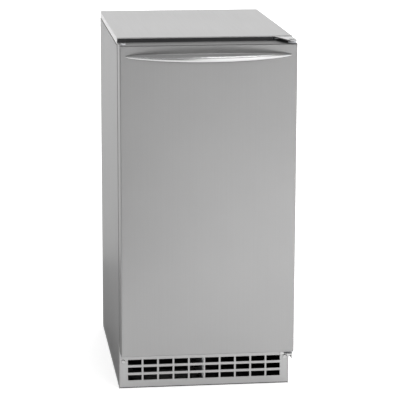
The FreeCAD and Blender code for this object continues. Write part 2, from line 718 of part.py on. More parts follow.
def pump_impeller():
    """Vaned disc pressed on the motor's shaft: two solids."""
    low = 571.0
    parts = [
        bar(15, (PUMP_X, PUMP_Y, low), (PUMP_X, PUMP_Y, low + 2)),
        bar(6, (PUMP_X, PUMP_Y, low), (PUMP_X, PUMP_Y, low + 13)),
    ]
    for k in range(5):
        vane = slab((PUMP_X + 4, PUMP_X + 14.5), (PUMP_Y - 1, PUMP_Y + 1), (low, low + 12))
        vane.rotate(Vector(PUMP_X, PUMP_Y, 0), Vector(0, 0, 1), 72 * k)
        parts.append(vane)
    shaft = bar(3, (PUMP_X, PUMP_Y, low + 3), (PUMP_X, PUMP_Y, 616))
    return fuse_apart([fuse(parts).cut(shaft), shaft])


def pump_motor():
    low, high = TANK_TOP + 3, 661.0
    can = bar(27, (PUMP_X, PUMP_Y, low), (PUMP_X, PUMP_Y, high))
    can = rounded(can, 4, lambda box: box.ZMin > high - 1)
    return can.cut(bar(3 + FIT, (PUMP_X, PUMP_Y, low), (PUMP_X, PUMP_Y, 617)))


def water_float():
    low = FLOAT_LOW + GAP
    body = bar(13, (PUMP_X, FLOAT_Y, low), (PUMP_X, FLOAT_Y, low + 18))
    body = rounded(body, 3, lambda box: box.ZLength < 1)
    return body.cut(bar(ROD_R + FIT, (PUMP_X, FLOAT_Y, low - 5), (PUMP_X, FLOAT_Y, low + 25)))


# Tubes

def suction_route():
    x = 112.0
    y = CUP_FRONT_Y + (CUP_ROWS - 1) * CUP_PITCH
    return [(78, y, COIL_Z), (x, y, COIL_Z), (x, RISER_Y, COIL_Z), (x, RISER_Y, 100), (x, 200, 100)]


def hot_gas_route():
    x = 134.0
    return [(78, CUP_FRONT_Y, COIL_Z), (x, CUP_FRONT_Y, COIL_Z), (x, RISER_Y, COIL_Z), (x, RISER_Y, 157)]


def capillary_route():
    side, far, y = -176.0, 150.0, 244.0
    return [
        (side, 30, 40), (side, 50, 40), (side, 50, 100), (side, y, 100),
        (far, y, 100), (far, y, COIL_Z), (far, 60, COIL_Z), (137, 60, COIL_Z),
    ]


def water_route():
    x = 92.0
    return [(VALVE_X + 12, RISER_Y, VALVE_Z), (x, RISER_Y, VALVE_Z), (x, RISER_Y, 625), (x, 196, 625)]


def suction_line():
    return pipe(TUBE_R, suction_route(), 12).cut(compressor_form())


def hot_gas_line():
    return pipe(3.2, hot_gas_route(), 12)


def capillary_tube():
    return pipe(1.2, capillary_route(), 6)


def water_tubes():
    """Supply tube from the inlet valve, and the short hose from the pump to the spray bar."""
    hose = ring(8, 5, (78, PUMP_Y, SPRAY_Z), (99, PUMP_Y, SPRAY_Z))
    return fuse_apart([pipe(TUBE_R, water_route(), 12), hose])


def discharge_line():
    x = 134.0
    main = pipe(3.2, [(x, 180, 60), (x, RISER_Y, 60), (x, RISER_Y, 135)], 12)
    return main.cut(compressor_form())


def condenser_line():
    side, y = -178.0, 225.0
    route = [
        (134, y, 60), (side, y, 60), (side, y, 160),
        (side, CONDENSER_Y, 160), (side + 10, CONDENSER_Y, 160),
    ]
    return pipe(3.2, route, 8).cut(bar(3.2, (134, 180, 60), (134, 240, 60)))


def liquid_line():
    side = -176.0
    return pipe(3.2, [(-168, CONDENSER_Y, 40), (side, CONDENSER_Y, 40), (side, -60, 40)], 6)


# Machine compartment

def condenser_coil():
    left, right, reach = -156.0, -32.0, 12.0
    points = [(-168, CONDENSER_Y, 40)]
    for level in range(6):
        z = 40 + 24 * level
        x = right + reach if level % 2 == 0 else left - reach
        if level < 5:
            points += [(x, CONDENSER_Y, z), (x, CONDENSER_Y, z + 24)]
    points.append((-168, CONDENSER_Y, 160))
    return pipe(4.5, points, reach)


def condenser_fins():
    fins = []
    levels = [40 + 24 * level for level in range(6)]
    tubes = [bar(4.5, (-180, CONDENSER_Y, z), (0, CONDENSER_Y, z)) for z in levels]
    for k in range(21):
        x = -154 + k * 6.0
        fin = slab((x, x + 0.6), (CONDENSER_Y - 23, CONDENSER_Y + 23), (26, 186))
        fins.append(fin.cut(fuse_apart(tubes)))
    return fuse_apart(fins)


def fan_shroud():
    """Sheet duct behind the condenser, with the welded strap that carries the motor."""
    x, z = (-171, -17), (24, 188)
    wall = slab(x, (CONDENSER_Y + 24, FAN_Y - 10), z)
    duct = slab((x[0] + 1.5, x[1] - 1.5), (CONDENSER_Y + 23, FAN_Y - 11.5), (z[0] + 1.5, z[1] - 1.5))
    wall = wall.cut(duct)
    collar = bar(71.5, (FAN_X, FAN_Y - 11, FAN_Z), (FAN_X, FAN_Y + 10, FAN_Z))
    opening = bar(70, (FAN_X, FAN_Y - 20, FAN_Z), (FAN_X, FAN_Y + 20, FAN_Z))
    strap_z = (FAN_Z - 8, FAN_Z + 8)
    strap_y = FAN_Y + 62
    strap = slab(x, (strap_y, strap_y + 2), strap_z)
    legs = [slab((side, side + 2), (FAN_Y - 11, strap_y + 2), strap_z) for side in (x[0], x[1] - 2)]
    return fuse([fuse([wall, collar]).cut(opening), strap] + legs)


def fan_blade():
    """Five-bladed fan on its motor's shaft: two solids."""
    centre = Vector(FAN_X, FAN_Y, FAN_Z)
    disc = bar(66, (FAN_X, FAN_Y - 30, FAN_Z), (FAN_X, FAN_Y + 30, FAN_Z))
    parts = [bar(15, (FAN_X, FAN_Y - 8, FAN_Z), (FAN_X, FAN_Y + 8, FAN_Z))]
    for k in range(5):
        blade = slab((FAN_X - 19, FAN_X + 19), (FAN_Y - 0.8, FAN_Y + 0.8), (FAN_Z + 12, FAN_Z + 70))
        blade.rotate(centre, Vector(0, 0, 1), 24)
        blade.rotate(centre, Vector(0, 1, 0), 72 * k)
        parts.append(blade.common(disc))
    shaft = bar(3, (FAN_X, FAN_Y - 5, FAN_Z), (FAN_X, FAN_Y + 30, FAN_Z))
    return fuse_apart([fuse(parts).cut(shaft), shaft])


def fan_motor():
    front, back = FAN_Y + 20, FAN_Y + 62
    can = bar(30, (FAN_X, front, FAN_Z), (FAN_X, back, FAN_Z))
    can = rounded(can, 3, lambda box: box.YLength < 1)
    return can.cut(bar(3 + FIT, (FAN_X, front - 1, FAN_Z), (FAN_X, front + 12, FAN_Z)))


def air_baffle():
    return slab((-4, -2.8), (FRONT + 6, -40), (PAN_SHEET, DECK_Z)).cut(
        slab((-5, -2), (FRONT, FRONT + 16), (GRILLE_TOP - 8, GRILLE_TOP + 4)))


def compressor_form():
    low, high = 31.5, 178.0
    can = bar(COMPRESSOR_R, (COMPRESSOR_X, COMPRESSOR_Y, low), (COMPRESSOR_X, COMPRESSOR_Y, high))
    return rounded(can, 26, lambda box: box.ZLength < 1)


def compressor():
    """Domed shell with its seam, welded to a base plate that stands on four grommets."""
    x, y = COMPRESSOR_X, COMPRESSOR_Y
    seam = bar(COMPRESSOR_R + 2, (x, y, 110), (x, y, 116))
    seat = bar(COMPRESSOR_R - 20, (x, y, 31), (x, y, 38))
    foot_plate = slab((x - 58, x + 58), (y - 58, y + 58), (28.5, 31.5))
    foot_plate = rounded(foot_plate, 10, lambda box: box.ZLength > 2)
    bolt_holes = [bar(3, (a, b, 20), (a, b, 34)) for a, b in foot_places()]
    return fuse([compressor_form(), seam, seat, foot_plate]).cut(fuse_apart(bolt_holes))


def foot_places():
    return [(COMPRESSOR_X + a, COMPRESSOR_Y + b) for a in (-50, 50) for b in (-50, 50)]


def compressor_grommets():
    return fuse_apart([ring(9, 3, (x, y, PAN_SHEET), (x, y, 28.5)) for x, y in foot_places()])


def compressor_bolts():
    bolts = []
    for x, y in foot_places():
        bolts.append(fuse([bar(3, (x, y, PAN_SHEET), (x, y, 32)), bar(5.5, (x, y, 31.5), (x, y, 35.5))]))
    return fuse_apart(bolts)


def terminal_cover():
    block = slab((18, 45), (COMPRESSOR_Y - 26, COMPRESSOR_Y + 26), (55, 105))
    block = rounded(block, 4, lambda box: box.XMax < 19)
    shell = bar(COMPRESSOR_R + GAP, (COMPRESSOR_X, COMPRESSOR_Y, 0), (COMPRESSOR_X, COMPRESSOR_Y, 200))
    return block.cut(shell)


def filter_drier():
    x, z = -176.0, 40.0
    body = bar(9, (x, -50, z), (x, 20, z))
    body = rounded(body, 5, lambda box: box.YLength < 1)
    return fuse([body, bar(4, (x, -60, z), (x, -45, z)), bar(3, (x, 15, z), (x, 30, z))])


def hot_gas_valve():
    body = slab((124, 144), (RISER_Y - 10, RISER_Y + 6), (135, 157))
    return fuse([body, bar(9, (134, 205, 146), (134, RISER_Y - 9, 146))])


def water_inlet_valve():
    """Valve body with its solenoid inside, and a collar and a thread for the hose outside."""
    x, z = VALVE_X, VALVE_Z
    body = slab((x - 14, x + 12), (226, BACK - 3), (z - 12, z + 12))
    solenoid = slab((x - 12, x + 10), (226, 246), (z + 12, z + 40))
    neck = bar(12, (x, BACK - 4, z), (x, BACK + 1, z))
    collar = bar(17, (x, BACK, z), (x, BACK + 3, z))
    thread = bar(VALVE_THREAD_R, (x, BACK + 3, z), (x, BACK + 3 + VALVE_THREAD, z))
    bore = bar(8, (x, BACK - 6, z), (x, BACK + 4 + VALVE_THREAD, z))
    return fuse([body, solenoid, neck, collar, thread]).cut(bore)


def bin_drain():
    flange = bar(16, (DRAIN_X, 190, BIN_FLOOR), (DRAIN_X, 190, BIN_FLOOR + 2))
    tail = bar(10, (DRAIN_X, 190, 200), (DRAIN_X, 190, BIN_FLOOR + 1))
    return fuse([flange, tail]).cut(bar(8, (DRAIN_X, 190, 190), (DRAIN_X, 190, BIN_FLOOR + 5)))


def drain_hose():
    route = [(DRAIN_X, 190, 209), (DRAIN_X, 190, DRAIN_Z), (DRAIN_X, 243, DRAIN_Z)]
    return pipe(12, route, 22).cut(pipe(10, route, 22))


def drain_outlet():
    parts = [
        bar(10, (DRAIN_X, 230, DRAIN_Z), (DRAIN_X, BACK + 2, DRAIN_Z)),
        bar(14, (DRAIN_X, BACK, DRAIN_Z), (DRAIN_X, BACK + 3, DRAIN_Z)),
        bar(8, (DRAIN_X, BACK, DRAIN_Z), (DRAIN_X, BACK + 24, DRAIN_Z)),
    ]
    return fuse(parts).cut(bar(6, (DRAIN_X, 220, DRAIN_Z), (DRAIN_X, BACK + 30, DRAIN_Z)))


def drain_fittings():
    return fuse_apart([bin_drain(), drain_outlet()])


def cord_gland():
    parts = [
        bar(8, (GLAND_X, BACK - 6, GLAND_Z), (GLAND_X, BACK + 4, GLAND_Z)),
        bar(11, (GLAND_X, BACK, GLAND_Z), (GLAND_X, BACK + 10, GLAND_Z)),
        bar(10, (GLAND_X, BACK - 6, GLAND_Z), (GLAND_X, BACK - 2.4, GLAND_Z)),
    ]
    return fuse(parts).cut(bar(4.5, (GLAND_X, BACK - 10, GLAND_Z), (GLAND_X, BACK + 20, GLAND_Z)))


# Controls

def control_box():
    outer = slab(BOX_X, BOX_Y, BOX_Z)
    inner = slab((BOX_X[0] + 1, BOX_X[1] - 1), (BOX_Y[0] + 1, BOX_Y[1] - 1), (BOX_Z[0] + 1, BOX_Z[1] - 1))
    return outer.cut(inner).cut(switch_window())


def control_board():
    back = BOX_Y[1]
    card = slab((BOX_X[0] + 10, BOX_X[1] - 10), (back - 6, back - 4.4), (BOX_Z[0] + 8, BOX_Z[1] - 8))
    relays = []
    for k in range(4):
        x = BOX_X[0] + 20 + k * 24
        relays.append(slab((x, x + 16), (back - 22, back - 6), (BOX_Z[0] + 50, BOX_Z[0] + 72)))
    standoffs = [bar(2.5, (x, back - 4.4, z), (x, back - 1, z))
                 for x in (BOX_X[0] + 16, BOX_X[1] - 16) for z in (BOX_Z[0] + 14, BOX_Z[1] - 14)]
    return fuse([card] + relays + standoffs)


def switch_frame():
    x, z = SWITCH_X, SWITCH_Z
    bezel = slab((x - 12, x + 12), (FRONT - 1.5, FRONT), (z - 17, z + 17))
    bezel = rounded(bezel, 1, lambda box: box.YMax < FRONT - 1)
    body = slab((x - 9.4, x + 9.4), (FRONT, FRONT + 24), (z - 13.9, z + 13.9))
    well = slab((x - 7.5, x + 7.5), (FRONT - 2, FRONT + 18), (z - 12.4, z + 12.4))
    axle = bar(1.5, (x - 8, FRONT + 3, z), (x + 8, FRONT + 3, z))
    return fuse([fuse([bezel, body]).cut(well), axle])


def rocker_switch():
    x, pivot_y, z = SWITCH_X, FRONT + 3, SWITCH_Z
    outline = [(4, -10.4), (4, 10.4), (-7.4, 10.9), (-5.6, 0), (-4.2, -10.9)]
    corners = [Vector(x - 7.2, pivot_y + a, z + b) for a, b in outline]
    body = Part.Face(Part.makePolygon(corners + corners[:1])).extrude(Vector(14.4, 0, 0))
    return body.cut(bar(1.5 + FIT, (x - 9, pivot_y, z), (x + 9, pivot_y, z)))


# Bin fittings

def thermostat_bulb():
    """Sensing bulb on the bin wall, and the two clips that hold it: three solids."""
    x, y = BIN_X - 7, -60.0
    bulb = pipe(3, [(x, y, 440), (x, y, 556), (BIN_X, y, 556)], 5)
    clips = []
    for z in (460.0, 520.0):
        clip = slab((x - 5, BIN_X), (y - 6, y + 6), (z, z + 8))
        clips.append(clip.cut(bar(3, (x, y, z - 1), (x, y, z + 9))))
    return fuse_apart([bulb] + clips)


def scoop_peg():
    flange = bar(13, (-BIN_X, SCOOP_Y, PEG_Z), (-BIN_X + 3, SCOOP_Y, PEG_Z))
    return fuse([flange, bar(4, (-BIN_X, SCOOP_Y, PEG_Z), (-BIN_X + 29, SCOOP_Y, PEG_Z))])


def ice_scoop():
    back, face = -BIN_X + 9, -BIN_X + 51
    low, high = PEG_Z - 160, PEG_Z - 60
    bowl = slab((back, face), (SCOOP_Y - 35, SCOOP_Y + 35), (low, high))
    bowl = rounded(bowl, 14, lambda box: box.XMax < back + 1 and box.ZMax > low + 1)
    hollow = slab((back + 2, face + 1), (SCOOP_Y - 33, SCOOP_Y + 33), (low - 1, high - 2))
    hollow = rounded(hollow, 12, lambda box: box.XMax < back + 3 and box.ZMax > low + 1)
    grip = slab((back + 2, back + 16), (SCOOP_Y - 11, SCOOP_Y + 11), (high - 2, PEG_Z + 18))
    grip = rounded(grip, 5, lambda box: box.ZLength > 50)
    hole = bar(4 + 0.5, (back, SCOOP_Y, PEG_Z), (back + 20, SCOOP_Y, PEG_Z))
    return fuse([bowl.cut(hollow), grip.cut(hollow)]).cut(hole)


def cabinet_screws():
    return fuse_apart([rear_screws(), grille_screws(), hinge_screws()])


def inner_frame():
    return fuse_apart([top_rail(), compartment_deck(), air_baffle()])


def refrigerant_lines():
    return fuse_apart([
        suction_line(), hot_gas_line(), discharge_line(), condenser_line(), liquid_line(), capillary_tube(),
    ])


NODES = {
    "base_pan": base_pan,
    "left_side_panel": left_side_panel,
    "right_side_panel": right_side_panel,
    "rear_panel": rear_panel,
    "top_panel": top_panel,
    "header_trim": header_trim,
    "inner_frame": inner_frame,
    "grille_panel": grille_panel,
    "lower_fascia": lower_fascia,
    "cabinet_screws": cabinet_screws,
    "cabinet_insulation": cabinet_insulation,
    "bin_liner": bin_liner,
    "hinge_brackets": hinge_brackets,
    "hinge_pins": hinge_pins,
    "door_bushes": door_bushes,
    "door_skin": door_skin,
    "door_insulation": door_insulation,
    "door_inner_liner": door_inner_liner,
    "door_gasket": door_gasket,
    "handle": handle,
    "handle_screws": handle_screws,
    "spray_housing": spray_housing,
    "evaporator_plate": evaporator_plate,
    "evaporator_coil": evaporator_coil,
    "reservoir": reservoir,
    "ice_chute": ice_chute,
    "spray_bar": spray_bar,
    "curtain_rod": curtain_rod,
    "pump_bracket": pump_bracket,
    "pump_housing": pump_housing,
    "pump_impeller": pump_impeller,
    "pump_motor": pump_motor,
    "water_float": water_float,
    "water_tubes": water_tubes,
    "refrigerant_lines": refrigerant_lines,
    "filter_drier": filter_drier,
    "hot_gas_valve": hot_gas_valve,
    "condenser_coil": condenser_coil,
    "condenser_fins": condenser_fins,
    "fan_shroud": fan_shroud,
    "fan_blade": fan_blade,
    "fan_motor": fan_motor,
    "compressor": compressor,
    "compressor_grommets": compressor_grommets,
    "compressor_bolts": compressor_bolts,
    "terminal_cover": terminal_cover,
    "water_inlet_valve": water_inlet_valve,
    "drain_fittings": drain_fittings,
    "drain_hose": drain_hose,
    "cord_gland": cord_gland,
    "control_box": control_box,
    "control_board": control_board,
    "switch_frame": switch_frame,
    "rocker_switch": rocker_switch,
    "thermostat_bulb": thermostat_bulb,
    "scoop_peg": scoop_peg,
    "ice_scoop": ice_scoop,
}
for flap in range(FLAPS):
    NODES["curtain_flap_%d" % (flap + 1)] = lambda number=flap: curtain_flap(number)

os.makedirs("parts", exist_ok=True)
for node, build in NODES.items():
    build().exportStep("parts/%s.step" % node)
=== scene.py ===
"""Looks for the undercounter ice maker: materials, finer pieces, light, floor and camera. Metres."""
import math

import bmesh
import bpy
from mathutils import Matrix, Vector


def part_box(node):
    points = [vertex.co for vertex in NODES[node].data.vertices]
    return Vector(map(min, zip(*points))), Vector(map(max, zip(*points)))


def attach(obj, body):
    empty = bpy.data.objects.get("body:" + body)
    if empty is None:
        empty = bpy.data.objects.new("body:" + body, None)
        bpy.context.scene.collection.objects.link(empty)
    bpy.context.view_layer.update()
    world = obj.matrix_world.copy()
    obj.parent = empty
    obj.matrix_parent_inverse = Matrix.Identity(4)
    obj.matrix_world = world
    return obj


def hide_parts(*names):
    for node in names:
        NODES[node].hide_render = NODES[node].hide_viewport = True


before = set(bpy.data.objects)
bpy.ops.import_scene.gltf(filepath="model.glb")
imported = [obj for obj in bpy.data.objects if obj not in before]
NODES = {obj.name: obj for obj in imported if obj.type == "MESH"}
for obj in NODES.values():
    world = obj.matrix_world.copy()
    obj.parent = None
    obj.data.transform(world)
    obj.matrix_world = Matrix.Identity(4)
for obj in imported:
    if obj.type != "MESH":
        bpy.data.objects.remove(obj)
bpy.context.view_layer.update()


# ---------------------------------------------------------------- materials

def start_material(name):
    """A new node material; returns it with its node tree's nodes, a joiner and its shader."""
    material = bpy.data.materials.new(name)
    material.use_nodes = True
    tree = material.node_tree
    return material, tree.nodes, tree.links.new, tree.nodes["Principled BSDF"]


def noise(nodes, link, scale, detail=4.0, roughness=0.6):
    """Noise in the row frame's own metres, stretched by scale along X, Y and Z."""
    place = nodes.new("ShaderNodeTexCoord")
    stretch = nodes.new("ShaderNodeMapping")
    stretch.inputs["Scale"].default_value = scale
    texture = nodes.new("ShaderNodeTexNoise")
    texture.inputs["Scale"].default_value = 1.0
    texture.inputs["Detail"].default_value = detail
    texture.inputs["Roughness"].default_value = roughness
    link(place.outputs["Object"], stretch.inputs["Vector"])
    link(stretch.outputs["Vector"], texture.inputs["Vector"])
    return texture.outputs["Fac"]


def remap(nodes, link, value, low, high):
    """The value spread from low to high."""
    spread = nodes.new("ShaderNodeMapRange")
    spread.inputs["From Min"].default_value = 0.3
    spread.inputs["From Max"].default_value = 0.7
    spread.inputs["To Min"].default_value = low
    spread.inputs["To Max"].default_value = high
    link(value, spread.inputs["Value"])
    return spread.outputs["Result"]


def blend_colours(nodes, link, value, dark, light):
    """A colour between two, by a value from about 0.3 to 0.7."""
    ramp = nodes.new("ShaderNodeValToRGB")
    ramp.color_ramp.elements[0].position = 0.3
    ramp.color_ramp.elements[0].color = (*dark, 1)
    ramp.color_ramp.elements[1].position = 0.7
    ramp.color_ramp.elements[1].color = (*light, 1)
    link(value, ramp.inputs["Fac"])
    return ramp.outputs["Color"]


def bump(nodes, link, height, shader, strength, distance):
    """Fine relief in the shader's normal, from a height value."""
    relief = nodes.new("ShaderNodeBump")
    relief.inputs["Strength"].default_value = strength
    relief.inputs["Distance"].default_value = distance
    link(height, relief.inputs["Height"])
    link(relief.outputs["Normal"], shader.inputs["Normal"])


def shade(colour, factor):
    """The colour made darker or lighter by a factor."""
    return tuple(min(channel * factor, 1.0) for channel in colour)


def brushed_metal(name, colour, grain, rough=0.33, contrast=0.05, relief=0.0, edge_on=1.0):
    """Sheet metal with fine lines along one axis, given as the noise's scale on each axis.

    edge_on is how bright the metal stays at near-grazing angles, 1 being the most.
    """
    material, nodes, link, shader = start_material(name)
    lines = noise(nodes, link, grain, 3.0)
    patches = noise(nodes, link, (3.0, 3.0, 3.0), 2.0)
    darker, lighter = shade(colour, 1 - contrast / 2), shade(colour, 1 + contrast / 2)
    tint = blend_colours(nodes, link, patches, darker, lighter)
    streak = blend_colours(nodes, link, lines, (1 - contrast,) * 3, (1.0, 1.0, 1.0))
    mix = nodes.new("ShaderNodeMix")
    mix.data_type = "RGBA"
    mix.blend_type = "MULTIPLY"
    mix.inputs["Factor"].default_value = 1.0
    link(tint, mix.inputs["A"])
    link(streak, mix.inputs["B"])
    link(mix.outputs["Result"], shader.inputs["Base Color"])
    link(remap(nodes, link, lines, rough - 0.04, rough + 0.05), shader.inputs["Roughness"])
    shader.inputs["Metallic"].default_value = 1.0
    shader.inputs["Specular Tint"].default_value = (edge_on, edge_on, edge_on, 1)
    if relief:
        bump(nodes, link, lines, shader, relief, 0.0002)
    return material


def plain_surface(name, colour, rough, metallic=0.0, mottle=0.04, grain=180.0, relief=0.1,
                  depth=0.0002, shine=0.5):
    """Moulded, painted or cast surface: slight colour drift, and a fine texture."""
    material, nodes, link, shader = start_material(name)
    drift = noise(nodes, link, (7.0, 7.0, 7.0), 3.0)
    tint = blend_colours(nodes, link, drift, shade(colour, 1 - mottle), shade(colour, 1 + mottle))
    link(tint, shader.inputs["Base Color"])
    fine = noise(nodes, link, (grain, grain, grain), 2.0)
    link(remap(nodes, link, fine, rough - 0.04, rough + 0.05), shader.inputs["Roughness"])
    shader.inputs["Metallic"].default_value = metallic
    shader.inputs["Specular IOR Level"].default_value = shine
    if relief:
        bump(nodes, link, fine, shader, relief, depth)
    return material


VERTICAL_GRAIN = (900.0, 900.0, 4.0)
ACROSS_GRAIN = (4.0, 900.0, 900.0)
DEPTH_GRAIN = (900.0, 4.0, 900.0)
STEEL = (0.47, 0.468, 0.468)

MATERIALS = {
    # The door, side and grille steels are the top's stainless steel made darker by their shade()
    # factors: painted shade for the lower light on these faces.
    "door_steel_painted_shade": brushed_metal(
        "door_steel_painted_shade", shade(STEEL, 0.63), VERTICAL_GRAIN, 0.36, edge_on=0.6),
    "side_steel_painted_shade": brushed_metal(
        "side_steel_painted_shade", shade(STEEL, 0.64), VERTICAL_GRAIN, 0.42, edge_on=0.7),
    "top_steel": brushed_metal("top_steel", STEEL, DEPTH_GRAIN, 0.36, edge_on=0.85),
    "grille_steel_painted_shade": brushed_metal("grille_steel_painted_shade", shade(STEEL, 0.78), ACROSS_GRAIN, 0.38),
    "polished_steel": plain_surface(
        "polished_steel", (0.46, 0.46, 0.462), 0.24, 1.0, 0.01, 6.0, relief=0.0),
    "fastener_steel": brushed_metal("fastener_steel", (0.46, 0.46, 0.46), (300.0,) * 3, 0.30, 0.10),
    "galvanised": plain_surface("galvanised", (0.45, 0.47, 0.48), 0.42, 0.85, 0.07, 60.0, 0.05),
    "black_plastic": plain_surface("black_plastic", (0.018, 0.018, 0.019), 0.55, grain=900.0),
    "white_plastic": plain_surface(
        "white_plastic", (0.66, 0.67, 0.67), 0.32, mottle=0.015, grain=500.0, relief=0.04),
    "pale_plastic": plain_surface("pale_plastic", (0.50, 0.51, 0.53), 0.40, grain=700.0),
    "grey_plastic": plain_surface("grey_plastic", (0.33, 0.35, 0.37), 0.45, grain=700.0),
    "blue_grey_plastic": plain_surface("blue_grey_plastic", (0.20, 0.28, 0.36), 0.42, grain=700.0),
    "scoop_plastic": plain_surface(
        "scoop_plastic", (0.20, 0.42, 0.62), 0.25, grain=500.0, relief=0.03),
    "foam": plain_surface(
        "foam", (0.78, 0.68, 0.42), 0.9, mottle=0.10, grain=400.0, relief=0.6, depth=0.0006),
    "gasket": plain_surface("gasket", (0.035, 0.035, 0.037), 0.62, grain=800.0),
    "rubber": plain_surface("rubber", (0.022, 0.022, 0.022), 0.72, grain=500.0, relief=0.2),
    "tinned_copper": plain_surface("tinned_copper", (0.66, 0.65, 0.62), 0.28, 1.0, 0.05, 120.0, 0.06),
    "copper": plain_surface("copper", (0.72, 0.36, 0.20), 0.30, 1.0, 0.14, 90.0, 0.05),
    "brass": plain_surface("brass", (0.72, 0.54, 0.26), 0.30, 1.0, 0.08, 90.0, 0.05),
    "aluminium": plain_surface("aluminium", (0.60, 0.61, 0.62), 0.38, 1.0, 0.06, 200.0, 0.05),
    # This black is real paint on the compressor, the motors and the fan shroud, and painted shade on the
    # base pan and the condenser.
    "black_paint_and_shade": plain_surface(
        "black_paint_and_shade", (0.010, 0.010, 0.011), 0.55, 0.0, 0.10, 260.0, 0.12, shine=0.15),
    "circuit_board": plain_surface("circuit_board", (0.02, 0.16, 0.07), 0.30, grain=300.0, relief=0.15),
}

NODE_MATERIALS = {
    # The base pan's black is painted shade: the dark inside seen through the grille's slots and the dark
    # line along the bottom edge.
    "base_pan": "black_paint_and_shade", "left_side_panel": "side_steel_painted_shade", "right_side_panel": "side_steel_painted_shade",
    # The header strip's black is partly its own plastic and partly painted shade for the dark gap above
    # the door.
    "rear_panel": "galvanised", "top_panel": "top_steel", "header_trim": "black_plastic",
    "inner_frame": "galvanised", "grille_panel": "grille_steel_painted_shade", "lower_fascia": "grille_steel_painted_shade",
    "cabinet_screws": "fastener_steel", "cabinet_insulation": "foam", "bin_liner": "white_plastic",
    "hinge_brackets": "fastener_steel", "hinge_pins": "fastener_steel", "spray_housing": "white_plastic",
    "evaporator_plate": "tinned_copper", "evaporator_coil": "copper", "reservoir": "grey_plastic",
    "ice_chute": "blue_grey_plastic", "spray_bar": "grey_plastic", "curtain_rod": "fastener_steel",
    "pump_bracket": "grey_plastic", "pump_housing": "black_plastic", "pump_motor": "black_paint_and_shade",
    "water_tubes": "grey_plastic", "refrigerant_lines": "copper", "filter_drier": "copper",
    # The condenser's black is partly its own paint and partly painted shade that keeps the grille's
    # slots dark.
    "hot_gas_valve": "brass", "condenser_coil": "black_paint_and_shade", "condenser_fins": "black_paint_and_shade",
    "fan_shroud": "black_paint_and_shade", "fan_motor": "black_paint_and_shade", "compressor": "black_paint_and_shade",
    "compressor_grommets": "rubber", "compressor_bolts": "fastener_steel",
    "terminal_cover": "black_plastic", "water_inlet_valve": "grey_plastic",
    "drain_fittings": "grey_plastic", "drain_hose": "rubber",
    "cord_gland": "black_plastic", "control_box": "galvanised", "control_board": "circuit_board",
    "switch_frame": "black_plastic", "thermostat_bulb": "tinned_copper", "scoop_peg": "grey_plastic",
    "door_bushes": "pale_plastic", "door_skin": "door_steel_painted_shade", "door_insulation": "foam",
    "door_inner_liner": "white_plastic", "door_gasket": "gasket", "handle": "polished_steel",
    "handle_screws": "fastener_steel", "fan_blade": "aluminium", "pump_impeller": "grey_plastic",
    "water_float": "white_plastic", "rocker_switch": "black_plastic", "ice_scoop": "scoop_plastic",
    "curtain_flap_1": "white_plastic", "curtain_flap_2": "white_plastic",
    "curtain_flap_3": "white_plastic",
}

for node, material in NODE_MATERIALS.items():
    NODES[node].data.materials.clear()
    NODES[node].data.materials.append(MATERIALS[material])


# ---------------------------------------------------------------- finer pieces

def add_piece(name, points, faces, material, body, replaced, smooth=True):
    """A mesh piece that rides on a body and stands for a CAD node."""
    mesh = bpy.data.meshes.new(name)
    mesh.from_pydata(points, [], faces)
    mesh.validate()
    shape = bmesh.new()
    shape.from_mesh(mesh)
    bmesh.ops.remove_doubles(shape, verts=shape.verts, dist=1e-6)
    bmesh.ops.recalc_face_normals(shape, faces=shape.faces)
    shape.to_mesh(mesh)
    shape.free()
    if smooth:
        mesh.shade_smooth()
    piece = bpy.data.objects.new(name, mesh)
    bpy.context.scene.collection.objects.link(piece)
    mesh.materials.append(MATERIALS[material])
    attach(piece, body)
    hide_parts(replaced)
    return piece


def ring_faces(rings, around, closed_way=False):
    """Quads between rings of points, each ring closed on itself."""
    faces = []
    for ring in range(rings if closed_way else rings - 1):
        here = ring * around
        after = (ring + 1) % rings * around
        for k in range(around):
            beside = (k + 1) % around
            faces.append((here + k, here + beside, after + beside, after + k))
    return faces


def make_handle():
    """Bow handle: an oval bar, thick in the middle, that thins towards both tips."""
    low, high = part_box("handle")
    stations, around = 96, 40
    tip_thickness, middle_depth = 0.0015, 0.0070
    bow = high[1] - low[1] - middle_depth
    middle_z = (low[2] + high[2]) / 2
    points = []
    for station in range(stations + 1):
        x = high[0] * math.sin(math.pi * (station / stations - 0.5))
        rise = max(1 - (x / high[0]) ** 2, 0)
        half_height = tip_thickness + ((high[2] - low[2]) / 2 - tip_thickness) * rise ** 0.6
        half_depth = tip_thickness + (middle_depth - tip_thickness) * rise ** 0.7
        for k in range(around):
            turn = 2 * math.pi * k / around
            y = high[1] - bow * rise + half_depth * math.cos(turn)
            points.append((x, min(y, high[1]), middle_z + half_height * math.sin(turn)))
    faces = ring_faces(stations + 1, around)
    faces.append(tuple(range(around)))
    faces.append(tuple(range(stations * around, (stations + 1) * around)))
    add_piece("bow_handle", points, faces, "polished_steel", "door", "handle")


